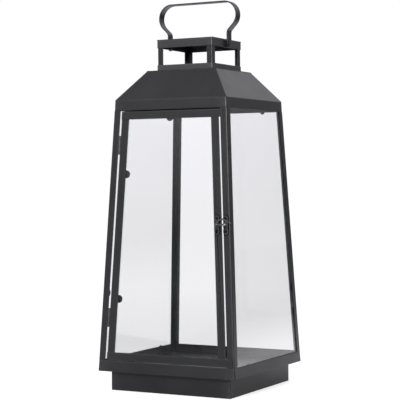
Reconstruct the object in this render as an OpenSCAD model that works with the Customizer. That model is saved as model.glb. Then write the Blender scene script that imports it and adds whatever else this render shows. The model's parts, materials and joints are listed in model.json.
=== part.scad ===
// Tall square candle lantern in folded and soldered black sheet steel. The
// glazed body narrows upwards under a hipped roof with an open chimney. The
// front is a glazed door on two small hinges, held by a hook, and a flat strap
// handle swings on two rivets. Millimetres, +Z up, the door facing -Y, the
// origin at the centre of the plinth's underside.

/* [Body] */
// Width of the glazed body where it stands on the base band
foot_w = 242.4; // [225:0.2:260]
// Height of the glazed body between the base band and the fascia
body_h = 396.7; // [360:0.5:460]
// How far each glazed wall leans in over its height
wall_in = 20.2; // [16:0.1:24]
// Height of the fascia, which carries the walls' slope on to the eaves
fascia_h = 16.3; // [12:0.1:24]
// Height of the base band
band_h = 17.4; // [14:0.2:25]
// How far the base band stands out along its bottom edge
band_flare = 1.5; // [1:0.1:4]
// Height of the plinth
plinth_h = 32; // [15:0.5:60]
// How far the plinth is set in from the foot of the body
plinth_in = 14.2; // [8:0.2:30]
// Thickness of the sheet that the body and roof are folded from
sheet_t = 1; // [0.8:0.05:1.2]

/* [Corner posts] */
// Width of each flange of a corner post
post_leg = 12; // [10:0.5:16]
// Thickness of the corner posts
post_t = 1.2; // [0.8:0.1:1.5]
// Outside radius of the bend in a corner post
post_bend = 2; // [1.6:0.1:3]

/* [Roof and chimney] */
// Height of the roof from the fascia to the flat crown
roof_h = 48.2; // [30:0.2:70]
// Width of the crown's flat rim around the chimney
crown_rim = 12; // [8:0.2:20]
// Width of the chimney
chimney_w = 101.2; // [90:0.2:108]
// Height of the collar at the foot of the chimney
collar_h = 9.5; // [5:0.5:14]
// Height of the open vents in the chimney
vent_h = 27.3; // [15:0.1:40]
// Height of the band around the top of the chimney
top_band_h = 13.4; // [11:0.1:18]
// Width of each flange of a chimney post
chimney_leg = 10; // [7:0.5:14]
// Outside radius of the bend in a chimney post
chimney_bend = 1.6; // [1.4:0.1:3]

/* [Door] */
// Gap between the hinge stile and its corner post
door_gap = 3.6; // [3.4:0.1:4.5]
// Gap between the latch stile and its corner post
latch_gap = 2.4; // [2:0.1:4]
// Width of the door stiles
stile_w = 13.2; // [12:0.2:18]
// Thickness of the door's strips
stile_t = 1.2; // [0.8:0.1:1.5]
// Height of the door rails
rail_h = 12.6; // [10:0.2:18]
// Clearance under the door
door_foot_gap = 0.9; // [0.6:0.1:2]
// Clearance over the door
door_head_gap = 2; // [1:0.1:4]
// How far the top rail laps over the right corner post
top_lap = 4.6; // [2:0.2:8]
// How far the bottom rail laps over the right corner post
bottom_lap = 8.5; // [2:0.5:10]

/* [Glass] */
// Thickness of the panes
glass_t = 2; // [1.6:0.1:2.5]
// Distance from a body corner to the edge of a fixed pane
pane_inset = 6; // [5.5:0.1:7]
// Radius of the round tabs that hold the panes
tab_r = 6.3; // [5:0.1:7]
// Radius of the small tabs at the pane heads and on the latch stile
small_tab_r = 3.8; // [3.5:0.1:5]
// Thickness of the tabs
tab_t = 0.8; // [0.6:0.1:1]

/* [Hinges] */
// Height of each hinge
hinge_h = 30; // [20:1:45]
// Height of the lower hinge's middle up the door
hinge_low = 68; // [40:1:120]
// Distance from the upper hinge's middle to the top of the wall
hinge_drop = 55; // [35:1:120]
// Diameter of a hinge barrel
barrel_d = 3; // [2.6:0.1:3]
// Diameter of a hinge pin
pin_d = 1.6; // [1.2:0.1:1.7]

/* [Latch] */
// Height of the latch up the door
latch_s = 217; // [150:1:260]
// Height of a latch plate
latch_h = 29.6; // [26:0.2:34]
// Width of a latch plate
latch_w = 8.2; // [7:0.1:9]
// Thickness of a latch plate
latch_t = 0.8; // [0.6:0.1:1.2]
// Thickness of the hook
hook_t = 1.2; // [0.8:0.1:2]
// Diameter of the peg's neck that the hook drops over
peg_d = 2.4; // [1.8:0.1:3]
// Diameter of the rivet that the hook turns on
pivot_d = 2.2; // [1.6:0.1:3]
// Diameter of the plates' countersunk screw heads
screw_head_d = 3.8; // [3:0.1:4.4]

/* [Handle] */
// Width of the handle strap
strap_w = 14.5; // [10:0.5:18]
// Thickness of the handle strap
strap_t = 2; // [1.4:0.1:3]
// Height of the handle over its rivets
handle_h = 68.6; // [60:0.2:90]
// How far the handle bows out beyond the chimney on each side
handle_out = 20.7; // [17:0.1:30]
// Clear space between the chimney and each foot of the handle
handle_gap = 2.5; // [1.5:0.1:5]
// Height of the rivets up the chimney's top band
rivet_up = 6.4; // [5:0.1:8]
// Outside radius of the handle's upper corners
handle_bend = 23; // [15:0.5:26]
// Diameter of a rivet's shank
rivet_d = 4; // [3:0.1:5]
// Diameter of a rivet's domed head
rivet_head_d = 7.8; // [6:0.1:9.5]

/* [Fits] */
// Gap between faces that slide past each other
slide_gap = 0.3; // [0.2:0.05:0.5]
// Radial clearance of a pin in its bore
pin_fit = 0.05; // [0.02:0.01:0.09]

/* [Hidden] */
$fn = 48;

COAT = [0.25, 0.25, 0.26];
DARK = [0.16, 0.16, 0.17];
CLEAR = [0.85, 0.9, 0.9, 0.4];
FRONT = 0;
RIGHT = 1;
BACK = 2;
LEFT = 3;
FRONT_LEFT_CORNER = 0;
FRONT_RIGHT_CORNER = 1;
BACK_RIGHT_CORNER = 2;
BACK_LEFT_CORNER = 3;

// Widths of the stacked parts, each from the one it stands on
head_w = foot_w - 2 * wall_in;
lean_rate = wall_in / body_h;
fascia_top_w = head_w - 2 * fascia_h * lean_rate;
crown_w = chimney_w + 2 * crown_rim;
plinth_w = foot_w - 2 * plinth_in;
band_w = foot_w + 2 * band_flare;

// Heights of the joints between the stacked parts
band_drop = 0.4;
band_z = plinth_h - band_drop;
foot_z = band_z + band_h;
head_z = foot_z + body_h;
eaves_z = head_z + fascia_h;
crown_z = eaves_z + roof_h;
vent_z = crown_z + collar_h;
top_band_z = vent_z + vent_h;
cap_z = top_band_z + top_band_h;
pivot_z = top_band_z + rivet_up;

// Longer than the lantern either way, for cuts that run right through it
far = foot_w + body_h;

// The glazed walls lean in, and their corner edges lean both ways
lean = atan(lean_rate);
wall_len = body_h / cos(lean);
taper_rate = wall_in / wall_len;
taper = atan(taper_rate);
floor_down = (foot_z - plinth_h - sheet_t) / cos(lean);

// Door: everything stands a sliding gap proud of the posts
door_face = slide_gap;
door_back = door_face - stile_t;
rail_face = door_face + stile_t;
door_low = door_foot_gap;
door_high = wall_len - door_head_gap;
stile_out = post_leg + door_gap;
stile_in = stile_out + stile_w;
latch_stile_out = post_leg + latch_gap;
latch_stile_in = latch_stile_out + stile_w;
glass_hold = 4;
pane_over = 6;
pane_lift = 0.3;
tab_gap = 0.3;
tab_foot = 2.4;
seat = 0.1;
pane_face = -post_t - seat;
pane_back_face = pane_face - glass_t;
hinge_axis_in = post_leg + door_gap / 2;
hinge_depth = -post_t / 2;
hinge_high = wall_len - hinge_drop;
leaf_t = 0.8;
leaf_w = 9;
knuckles = 3;
knuckle_h = hinge_h / knuckles;
knuckle_gap = 0.2;

// Latch: both plates' middles, counted in from the wall's right edge
plate_shift = 1.8;
keeper_over = 0.1;
plate_in = latch_stile_out + stile_w / 2 + plate_shift;
keeper_in = post_leg - latch_w / 2 + keeper_over;
ear_r = latch_w / 2;
ear_in = 0.6;
screw_pitch = latch_h - latch_w - 2 * ear_in;
screw_d = 2.2;
screw_end = 2.2;
hook_back = door_face + latch_t + slide_gap;
hook_face = hook_back + hook_t;
peg_reach = plate_in - keeper_in;
tail_out = 8.6;
tail_up = 2;

// Handle: the strap's centre line
handle_w = chimney_w + 2 * handle_out;
strap_in = chimney_w / 2 + handle_gap;
strap_mid = strap_in + strap_t / 2;
corner_mid_r = handle_bend - strap_t / 2;
corner_x = handle_w / 2 - handle_bend;
corner_z = handle_h - handle_bend;
flare = 45;
knee_r = 8;
knee_run = knee_r * (1 - cos(flare));
flare_run = corner_x + corner_mid_r * cos(flare) - strap_mid - knee_run;
knee_z = corner_z - (corner_mid_r + knee_r) * sin(flare) - flare_run / tan(flare);

// Half-width of a glazed wall at a height s up its slope
function edge_at(s) = foot_w / 2 - s * taper_rate;

// Lays flat work on a wall's outer face: x along it, y up it, z outwards
module on_wall(side) {
    rotate([0, 0, 90 * side])
        translate([0, -foot_w / 2, foot_z])
            rotate([90 - lean, 0, 0])
                children();
}

// Sheet of a given outline whose outer face lies at a depth from a wall's face
module sheet(face, t, points) {
    translate([0, 0, face - t])
        linear_extrude(t)
            polygon(points);
}

// Strip up a wall between two distances in from its left edge
function upright(from, to, low, high) = [
    [-edge_at(low) + from, low],
    [-edge_at(low) + to, low],
    [-edge_at(high) + to, high],
    [-edge_at(high) + from, high],
];

// Outline across a wall with its ends set in from the wall's two edges
function across(left_in, right_in, low, high) = [
    [-edge_at(low) + left_in, low],
    [edge_at(low) - right_in, low],
    [edge_at(high) - right_in, high],
    [-edge_at(high) + left_in, high],
];

// One side of a four-sided skirt, mitred at its corners and cut level at its ends
module skirt_side(side, low_half, high_half, low_z, high_z) {
    lean_in = atan2(low_half - high_half, high_z - low_z);
    rotate([0, 0, 90 * side])
        intersection() {
            translate([0, 0, low_z])
                linear_extrude(high_z - low_z)
                    polygon([[0, 0], [-far, -far], [far, -far]]);
            translate([0, -low_half, low_z])
                rotate([90 - lean_in, 0, 0])
                    translate([-far, -far / 2, -sheet_t])
                        cube([2 * far, far, sheet_t]);
        }
}

// Square frame of upright sheet
module square_ring(outer_w, height) {
    inner_w = outer_w - 2 * sheet_t;
    difference() {
        translate([-outer_w / 2, -outer_w / 2, 0])
            cube([outer_w, outer_w, height]);
        translate([-inner_w / 2, -inner_w / 2, -1])
            cube([inner_w, inner_w, height + 2]);
    }
}

// Section of an angle strip with its outer corner at the origin
module angle_section(leg, t, bend) {
    translate([bend, 0])
        square([leg - bend, t]);
    translate([0, bend])
        square([t, leg - bend]);
    translate([bend, bend])
        difference() {
            circle(bend);
            circle(bend - t);
            translate([0, -2 * bend])
                square(4 * bend);
            translate([-2 * bend, 0])
                square(4 * bend);
        }
}

// Bent strip about a centre, between two angles less than 180 apart
module bend_arc(centre, mid_r, strip, from, to) {
    outer = mid_r + strip / 2;
    arm = 3 * outer;
    middle = (from + to) / 2;
    translate(centre)
        intersection() {
            difference() {
                circle(outer);
                circle(mid_r - strip / 2);
            }
            polygon([[0, 0], arm * [cos(from), sin(from)], 2 * arm * [cos(middle), sin(middle)],
                     arm * [cos(to), sin(to)]]);
        }
}

// Straight strip between the middles of its two ends
module straight(start, end, strip) {
    along = end - start;
    half = strip / 2 * [along[1], -along[0]] / norm(along);
    polygon([start + half, end + half, end - half, start - half]);
}

module corner_post(corner) {
    overrun = 20;
    intersection() {
        rotate([0, 0, 90 * corner])
            translate([-foot_w / 2, -foot_w / 2, foot_z])
                rotate([-atan(sin(lean)), lean, 0])
                    translate([0, 0, -overrun])
                        linear_extrude(wall_len + 2 * overrun)
                            angle_section(post_leg, post_t, post_bend);
        translate([-far, -far, foot_z])
            cube([2 * far, 2 * far, body_h]);
    }
}

module chimney_post(corner) {
    corner_at = chimney_w / 2 - sheet_t;
    rotate([0, 0, 90 * corner])
        translate([-corner_at, -corner_at, crown_z])
            linear_extrude(cap_z - sheet_t - crown_z)
                angle_section(chimney_leg, sheet_t, chimney_bend);
}

// Base --------------------------------------------------------------------

module plinth() {
    color(COAT)
        square_ring(plinth_w, plinth_h);
}

module floor_plate() {
    flare_rate = band_flare / band_h;
    band_inside = (band_drop + sheet_t) * flare_rate + sheet_t * norm([1, flare_rate]);
    floor_w = band_w - 2 * (band_inside + seat);
    color(COAT)
        translate([-floor_w / 2, -floor_w / 2, plinth_h])
            cube([floor_w, floor_w, sheet_t]);
}

module band(side) {
    color(COAT)
        skirt_side(side, band_w / 2, foot_w / 2, band_z, foot_z);
}

// Body --------------------------------------------------------------------

module post(corner) {
    color(COAT)
        corner_post(corner);
}

// The post beside the latch is drilled for the keeper's peg and screws
module keeper_post() {
    color(COAT)
        difference() {
            corner_post(FRONT_RIGHT_CORNER);
            on_wall(FRONT)
                at_keeper(-post_t) {
                    screw_holes(screw_d / 2, -1, 2 * post_t);
                    translate([0, 0, -1])
                        cylinder(d = peg_d, h = 3 * post_t);
                }
        }
}

module fascia(side) {
    color(COAT)
        skirt_side(side, head_w / 2, fascia_top_w / 2, head_z, eaves_z);
}

module fixed_pane(side) {
    low = -floor_down + pane_lift;
    high = wall_len + pane_over;
    color(CLEAR)
        on_wall(side)
            sheet(pane_face, glass_t, across(pane_inset, pane_inset, low, high));
}

// Round tab bent over the back of a pane. Its foot stands on the strip beside
// the pane; x points from the strip's edge over the glass.
module glass_tab(strip_back, glass_back, reach, foot_at, r = tab_r) {
    behind = glass_back - seat;
    arm_w = r;
    arm_end = foot_at + tab_foot;
    translate([0, 0, behind - tab_t]) {
        translate([reach - r, 0, 0])
            cylinder(r = r, h = tab_t);
        translate([-arm_end, -arm_w / 2, 0])
            cube([arm_end + reach - r, arm_w, tab_t]);
    }
    translate([-arm_end, -arm_w / 2, behind - tab_t])
        cube([tab_foot, arm_w, strip_back - behind + tab_t]);
}

// Tab at a pane's head, standing on the fascia
module head_tab(side, along) {
    reach = 3.2;
    on_wall(side)
        translate([along, wall_len, 0])
            rotate([0, 0, -90])
                glass_tab(-sheet_t - seat, pane_back_face, reach, pane_over + tab_gap,
                          small_tab_r);
}

// Tab on a post's flange, at a height up its slope
module post_tab(side, height) {
    reach = 4.5;
    on_wall(side)
        translate([edge_at(height) - post_leg, height, 0])
            rotate([0, 0, 180 + taper])
                glass_tab(pane_face, pane_back_face, reach, post_leg - pane_inset + tab_gap);
}

// Tab that stands on the floor plate and reaches up to the base band's edge
module floor_tab(side, along, reach) {
    back = pane_back_face - seat - tab_t;
    down = floor_down + back * tan(lean);
    on_wall(side)
        translate([along, 0, back]) {
            translate([0, reach - tab_r, 0])
                cylinder(r = tab_r, h = tab_t);
            translate([-tab_r / 2, -down, 0])
                cube([tab_r, down + reach - tab_r, tab_t]);
        }
}

module pane_tabs() {
    head_tab_at = -0.32 * head_w;
    floor_tab_at = 0.29 * foot_w;
    post_tab_heights = [0.171 * wall_len, 0.267 * wall_len];
    color(COAT) {
        for (side = [BACK, LEFT])
            head_tab(side, head_tab_at);
        for (side = [RIGHT, LEFT])
            floor_tab(side, -floor_tab_at, 2.5);
        floor_tab(BACK, floor_tab_at, -1);
        floor_tab(BACK, -floor_tab_at, -1);
        for (side = [RIGHT, LEFT])
            for (height = post_tab_heights)
                post_tab(side, height);
    }
}

// Roof and chimney --------------------------------------------------------

module roof(side) {
    color(COAT)
        skirt_side(side, fascia_top_w / 2, crown_w / 2, eaves_z, crown_z - sheet_t);
}

module roof_crown() {
    throat_w = chimney_w - 2 * chimney_leg;
    color(COAT)
        translate([0, 0, crown_z - sheet_t])
            linear_extrude(sheet_t)
                difference() {
                    square(crown_w, center = true);
                    square(throat_w, center = true);
                }
}

module chimney_collar() {
    color(COAT)
        translate([0, 0, crown_z])
            square_ring(chimney_w, collar_h);
}

module chimney_angle(corner) {
    color(COAT)
        chimney_post(corner);
}

module chimney_band() {
    color(COAT)
        difference() {
            translate([0, 0, top_band_z])
                square_ring(chimney_w, top_band_h - sheet_t);
            translate([-chimney_w, 0, pivot_z])
                rotate([0, 90, 0])
                    cylinder(d = rivet_d, h = 2 * chimney_w);
        }
}

module chimney_cap() {
    color(COAT)
        translate([-chimney_w / 2, -chimney_w / 2, cap_z - sheet_t])
            cube([chimney_w, chimney_w, sheet_t]);
}

// Door --------------------------------------------------------------------

module door_stile_left() {
    color(COAT)
        on_wall(FRONT)
            sheet(door_face, stile_t, upright(stile_out, stile_in, door_low, door_high));
}

module door_stile_right() {
    color(COAT)
        on_wall(FRONT)
            difference() {
                mirror([1, 0, 0])
                    sheet(door_face, stile_t,
                          upright(latch_stile_out, latch_stile_in, door_low, door_high));
                at_latch_plate(0)
                    screw_holes(screw_d / 2, -far, far);
                at_latch_plate(0)
                    translate([0, 0, -far])
                        cylinder(d = pivot_d, h = 2 * far);
            }
}

module door_rail_top() {
    color(COAT)
        on_wall(FRONT)
            sheet(rail_face, stile_t,
                  across(stile_out, post_leg - top_lap, door_high - rail_h, door_high));
}

module door_rail_bottom() {
    color(COAT)
        on_wall(FRONT)
            sheet(rail_face, stile_t,
                  across(stile_out, post_leg - bottom_lap, door_low, door_low + rail_h));
}

module door_glass() {
    left_in = stile_in - glass_hold;
    past_screws = plate_in + screw_d / 2 + slide_gap;
    right_in = max(latch_stile_in - glass_hold, past_screws);
    low = door_low + rail_h - glass_hold;
    high = door_high - rail_h + glass_hold;
    color(CLEAR)
        on_wall(FRONT)
            sheet(door_back, glass_t, across(left_in, right_in, low, high));
}

module door_tabs() {
    left_heights = [0.247 * wall_len, 0.745 * wall_len];
    right_heights = [0.287 * wall_len, 0.753 * wall_len];
    reach = 6.5;
    latch_side_reach = 1.3;
    head_reach = 4;
    foot_at = glass_hold + tab_gap;
    color(COAT)
        on_wall(FRONT) {
            for (s = left_heights)
                translate([-edge_at(s) + stile_in, s, 0])
                    rotate([0, 0, -taper])
                        glass_tab(door_back, door_back - glass_t, reach, foot_at);
            for (s = right_heights)
                translate([edge_at(s) - latch_stile_in, s, 0])
                    rotate([0, 0, 180 + taper])
                        glass_tab(door_back, door_back - glass_t, latch_side_reach, foot_at,
                                  small_tab_r);
            translate([0, door_high - rail_h, 0])
                rotate([0, 0, -90])
                    glass_tab(door_back, door_back - glass_t, head_reach, foot_at);
            translate([-tab_r / 2, door_high - rail_h + foot_at, door_back])
                cube([tab_r, tab_foot, stile_t]);
        }
}

// Hinges ------------------------------------------------------------------

// Places a hinge on the line up the gap: y up the pin, x towards the door
module at_hinge(s) {
    on_wall(FRONT)
        translate([-edge_at(s) + hinge_axis_in, s, hinge_depth])
            rotate([0, 0, -taper])
                children();
}

// Leaf with its barrel lengths; way is -1 for the post's leaf, 1 for the door's
module hinge_leaf(way, first, leaf_face) {
    bare = barrel_d / 2 + slide_gap;
    leaf_from = min(way * bare, way * (bare + leaf_w));
    tab_from = min(0, way * bare);
    difference() {
        union() {
            translate([leaf_from, -hinge_h / 2, leaf_face - leaf_t])
                cube([leaf_w, hinge_h, leaf_t]);
            for (k = [first : 2 : knuckles - 1])
                translate([0, -hinge_h / 2 + k * knuckle_h + knuckle_gap / 2, 0]) {
                    rotate([-90, 0, 0])
                        cylinder(d = barrel_d, h = knuckle_h - knuckle_gap);
                    translate([tab_from, 0, leaf_face - leaf_t])
                        cube([bare, knuckle_h - knuckle_gap, leaf_t]);
                }
        }
        translate([0, -hinge_h, 0])
            rotate([-90, 0, 0])
                cylinder(r = pin_d / 2 + (way > 0 ? pin_fit : 0), h = 2 * hinge_h);
    }
}

module hinge_post_leaves() {
    color(DARK)
        for (s = [hinge_low, hinge_high])
            at_hinge(s)
                hinge_leaf(-1, 0, pane_face - hinge_depth);
}

module hinge_door_leaves() {
    color(DARK)
        for (s = [hinge_low, hinge_high])
            at_hinge(s)
                hinge_leaf(1, 1, door_back - hinge_depth);
}

module hinge_pins() {
    color(DARK)
        for (s = [hinge_low, hinge_high])
            at_hinge(s)
                translate([0, -hinge_h / 2, 0])
                    rotate([-90, 0, 0])
                        cylinder(d = pin_d, h = hinge_h);
}

// Latch -------------------------------------------------------------------

module at_latch_plate(face) {
    translate([edge_at(latch_s) - plate_in, latch_s, face])
        rotate([0, 0, taper])
            children();
}

module at_keeper(face) {
    translate([edge_at(latch_s) - keeper_in, latch_s, face])
        rotate([0, 0, taper])
            children();
}

module screw_holes(radius, from, to) {
    for (end = [-1, 1])
        translate([0, end * screw_pitch / 2, from])
            cylinder(r = radius, h = to - from);
}

// Plate with a round ear and a screw hole at each end and a notched waist
module plate_with_ears() {
    notch_r = 2.2;
    notch_depth = 0.9;
    notch_at = latch_h / 6;
    difference() {
        union() {
            for (end = [-1, 1])
                translate([0, end * (latch_h / 2 - ear_r), 0])
                    cylinder(r = ear_r, h = latch_t);
            translate([-ear_r, -latch_h / 2 + ear_r, 0])
                cube([latch_w, latch_h - 2 * ear_r, latch_t]);
        }
        for (edge = [-1, 1])
            for (end = [-1, 1])
                translate([edge * (ear_r + notch_r - notch_depth), end * notch_at, -1])
                    cylinder(r = notch_r, h = latch_t + 2);
        screw_holes(screw_head_d / 2, -1, latch_t + 1);
    }
}

module latch_plate() {
    color(DARK)
        on_wall(FRONT)
            at_latch_plate(door_face)
                difference() {
                    plate_with_ears();
                    translate([0, 0, -1])
                        cylinder(d = pivot_d, h = latch_t + 2);
                }
}

module latch_keeper() {
    color(DARK)
        on_wall(FRONT)
            at_keeper(0)
                difference() {
                    plate_with_ears();
                    translate([0, 0, -1])
                        cylinder(d = peg_d, h = latch_t + 2);
                }
}

// Flush screws with slotted heads just below the plate's face
module plate_screws() {
    slot_w = 0.7;
    sunk = 0.15;
    slot_depth = 0.35;
    for (end = [-1, 1])
        translate([0, end * screw_pitch / 2, 0])
            difference() {
                union() {
                    cylinder(d = screw_head_d, h = latch_t - sunk);
                    translate([0, 0, -screw_end])
                        cylinder(d = screw_d, h = screw_end + sunk);
                }
                translate([-screw_head_d, -slot_w / 2, latch_t - sunk - slot_depth])
                    cube([2 * screw_head_d, slot_w, 1]);
            }
}

module latch_screws() {
    color(DARK)
        on_wall(FRONT)
            at_latch_plate(door_face)
                plate_screws();
}

module keeper_screws() {
    color(DARK)
        on_wall(FRONT)
            at_keeper(0)
                plate_screws();
}

// Rivet that the hook turns on
module latch_pivot() {
    head_d = pivot_d + 1.8;
    head_h = 0.7;
    color(DARK)
        on_wall(FRONT)
            at_latch_plate(0) {
                translate([0, 0, door_back])
                    cylinder(d = pivot_d, h = hook_face + slide_gap - door_back);
                translate([0, 0, hook_face + slide_gap])
                    cylinder(d = head_d, h = head_h);
            }
}

// Peg with a round head that keeps the hook from lifting away
module latch_peg() {
    head_r = peg_d / 2 + 0.7;
    head_up = 0.5;
    color(DARK)
        on_wall(FRONT)
            at_keeper(0) {
                translate([0, 0, -post_t])
                    cylinder(d = peg_d, h = hook_face + slide_gap + post_t + head_up);
                translate([0, 0, hook_face + slide_gap])
                    intersection() {
                        translate([0, 0, head_up])
                            sphere(head_r);
                        translate([-head_r, -head_r, 0])
                            cube(2 * head_r);
                    }
            }
}

// Hook with an eye on the rivet, a bar notched to drop over the peg, an arch
// to lift it by and a tail with a ball tip
module latch_hook() {
    eye_r = pivot_d / 2 + 1.8;
    ball_r = 1.3;
    tip_r = 1.2;
    tail = [peg_reach + tail_out, tail_up];
    color(DARK)
        on_wall(FRONT)
            at_latch_plate(hook_back)
                difference() {
                    union() {
                        cylinder(r = eye_r, h = hook_t);
                        linear_extrude(hook_t)
                            hook_outline(tail);
                        translate(tail)
                            cylinder(r = ball_r, h = hook_t);
                        translate([tail[0], tail[1], hook_t])
                            sphere(tip_r);
                    }
                    translate([0, 0, -1])
                        cylinder(r = pivot_d / 2 + pin_fit, h = hook_t + 2);
                }
}

module hook_outline(tail) {
    bar_h = 2.6;
    band = 2.4;
    tail_w = 1.9;
    arch_r = 0.66 * peg_reach;
    arch_at = [arch_r, -1.5];
    arch_from = 60;
    arch_to = 172;
    brace_share = 0.3;
    notch_r = peg_d / 2 + slide_gap;
    nose_r = notch_r + 1.9;
    arch_end = arch_at + arch_r * [cos(arch_from), sin(arch_from)];
    difference() {
        union() {
            translate([0, -bar_h / 2])
                square([peg_reach, bar_h]);
            translate([peg_reach, 0])
                circle(nose_r);
            bend_arc(arch_at, arch_r, band, arch_from, arch_to);
            translate(arch_end)
                circle(band / 2);
            straight(arch_end, tail, tail_w);
            straight([peg_reach, 0], arch_end + (tail - arch_end) * brace_share, band);
        }
        translate([peg_reach, 0])
            circle(notch_r);
        translate([peg_reach - notch_r, -far])
            square([2 * notch_r, far]);
        translate([-far, -far - bar_h / 2])
            square([far + peg_reach, far]);
    }
}

// Handle ------------------------------------------------------------------

// Area under one face of the bent strap, right half; z from the rivets
module under_strap(corner_r, knee_cut_r, past, low) {
    corner = [corner_x, corner_z];
    knee = [strap_mid + knee_r, knee_z];
    to_flare = [cos(flare), -sin(flare)];
    translate(corner)
        circle(corner_r);
    difference() {
        polygon([
            [-past, low],
            [-past, corner_z + corner_r],
            [corner_x, corner_z + corner_r],
            corner,
            corner + corner_r * to_flare,
            knee - knee_cut_r * to_flare,
            knee,
            knee - [knee_cut_r, 0],
            [knee[0] - knee_cut_r, low],
        ]);
        translate(knee)
            circle(knee_cut_r);
    }
}

module strap_half() {
    difference() {
        under_strap(handle_bend, knee_r - strap_t / 2, 1, 0);
        under_strap(handle_bend - strap_t, knee_r + strap_t / 2, 2, -1);
    }
}

module handle_strap() {
    color(COAT)
        translate([0, 0, pivot_z])
            difference() {
                union() {
                    rotate([90, 0, 0])
                        translate([0, 0, -strap_w / 2])
                            linear_extrude(strap_w) {
                                strap_half();
                                mirror([1, 0])
                                    strap_half();
                            }
                    for (way = [-1, 1])
                        translate([way * strap_mid, 0, 0])
                            rotate([0, 90, 0])
                                cylinder(d = strap_w, h = strap_t, center = true);
                }
                translate([-far, 0, 0])
                    rotate([0, 90, 0])
                        cylinder(r = rivet_d / 2 + pin_fit, h = 2 * far);
            }
}

// Shouldered rivets that the handle swings on
module handle_rivets() {
    tail_d = rivet_d + 2;
    tail_h = 1.2;
    wall_in = chimney_w / 2 - sheet_t;
    head_at = strap_in + strap_t + slide_gap;
    head_h = 2.2;
    color(COAT)
        for (way = [-1, 1])
            translate([0, 0, pivot_z])
                mirror([way < 0 ? 1 : 0, 0, 0])
                    rotate([0, 90, 0]) {
                        translate([0, 0, wall_in - tail_h])
                            cylinder(d = tail_d, h = tail_h);
                        translate([0, 0, wall_in])
                            cylinder(d = rivet_d, h = head_at + head_h / 2 - wall_in);
                        translate([0, 0, chimney_w / 2])
                            cylinder(d = rivet_head_d, h = strap_in - slide_gap - chimney_w / 2);
                        translate([0, 0, head_at])
                            rivet_dome(rivet_head_d, head_h);
                    }
}

module rivet_dome(width, height) {
    dome_r = (pow(width / 2, 2) + pow(height, 2)) / (2 * height);
    intersection() {
        translate([0, 0, height - dome_r])
            sphere(dome_r);
        cylinder(d = width, h = height);
    }
}

plinth();
floor_plate();
band(FRONT);  // band_front
band(RIGHT);  // band_right
band(BACK);  // band_back
band(LEFT);  // band_left
post(FRONT_LEFT_CORNER);  // post_front_left
keeper_post();  // post_front_right
post(BACK_RIGHT_CORNER);  // post_back_right
post(BACK_LEFT_CORNER);  // post_back_left
fascia(FRONT);  // fascia_front
fascia(RIGHT);  // fascia_right
fascia(BACK);  // fascia_back
fascia(LEFT);  // fascia_left
roof(FRONT);  // roof_front
roof(RIGHT);  // roof_right
roof(BACK);  // roof_back
roof(LEFT);  // roof_left
roof_crown();
chimney_collar();
chimney_angle(FRONT_LEFT_CORNER);  // chimney_post_front_left
chimney_angle(FRONT_RIGHT_CORNER);  // chimney_post_front_right
chimney_angle(BACK_RIGHT_CORNER);  // chimney_post_back_right
chimney_angle(BACK_LEFT_CORNER);  // chimney_post_back_left
chimney_band();
chimney_cap();
fixed_pane(RIGHT);  // pane_right
fixed_pane(BACK);  // pane_back
fixed_pane(LEFT);  // pane_left
pane_tabs();
hinge_post_leaves();
hinge_pins();
latch_keeper();
latch_peg();
keeper_screws();
handle_rivets();
door_stile_left();
door_stile_right();
door_rail_top();
door_rail_bottom();
door_glass();
door_tabs();
hinge_door_leaves();
latch_plate();
latch_pivot();
latch_screws();
latch_hook();
handle_strap();
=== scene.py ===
import json
from math import atan, cos, pi, radians, sin

import bmesh
import bpy
from mathutils import Matrix, Vector


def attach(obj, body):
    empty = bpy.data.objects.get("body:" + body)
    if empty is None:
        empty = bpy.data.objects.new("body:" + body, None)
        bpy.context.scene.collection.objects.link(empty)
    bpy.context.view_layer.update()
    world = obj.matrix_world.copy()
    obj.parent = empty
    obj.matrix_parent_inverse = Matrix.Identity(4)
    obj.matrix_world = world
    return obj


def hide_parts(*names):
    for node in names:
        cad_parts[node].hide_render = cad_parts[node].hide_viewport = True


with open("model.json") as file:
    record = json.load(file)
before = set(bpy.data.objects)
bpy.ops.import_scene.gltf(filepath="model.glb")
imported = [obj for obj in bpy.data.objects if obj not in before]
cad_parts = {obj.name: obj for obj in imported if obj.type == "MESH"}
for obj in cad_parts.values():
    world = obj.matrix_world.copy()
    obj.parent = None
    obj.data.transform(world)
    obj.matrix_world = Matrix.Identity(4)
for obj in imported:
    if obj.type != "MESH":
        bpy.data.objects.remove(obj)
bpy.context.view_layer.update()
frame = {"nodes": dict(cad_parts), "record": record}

mm = 0.001

cameraView = {
    "place": (1.0571, -1.9634, 0.3388),
    "target": (-0.00075, -0.00043, 0.30185),
    "rollDegrees": -0.42,
    "lensMm": 123.3,
    "sensorMm": 36,
    "clipEnd": 60,
}


def addObject(name, data):
    thing = bpy.data.objects.new(name, data)
    bpy.context.scene.collection.objects.link(thing)
    return thing


def makeCamera(view):
    data = bpy.data.cameras.new("lanternCamera")
    data.sensor_width = view["sensorMm"]
    data.lens = view["lensMm"]
    data.clip_end = view["clipEnd"]
    camera = addObject("lanternCamera", data)
    back = (Vector(view["place"]) - Vector(view["target"])).normalized()
    right = Vector((0, 0, 1)).cross(back).normalized()
    up = back.cross(right)
    roll = radians(view["rollDegrees"])
    x = cos(roll) * right + sin(roll) * up
    y = -sin(roll) * right + cos(roll) * up
    turn = Matrix((x, y, back)).transposed().to_4x4()
    camera.matrix_world = Matrix.Translation(view["place"]) @ turn
    bpy.context.scene.camera = camera


makeCamera(cameraView)
print("camera placed")


# Fills a node's sockets, by name or number, and sets it to the right of what feeds it
def feed(tree, node, inputs):
    column = 0
    for key, value in inputs.items():
        if isinstance(value, bpy.types.NodeSocket):
            tree.links.new(value, node.inputs[key])
            column = max(column, value.node.location.x + 200)
        else:
            node.inputs[key].default_value = value
    row = sum(1 for other in tree.nodes if other != node and abs(other.location.x - column) < 1)
    node.location = (column, -190 * row)


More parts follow.
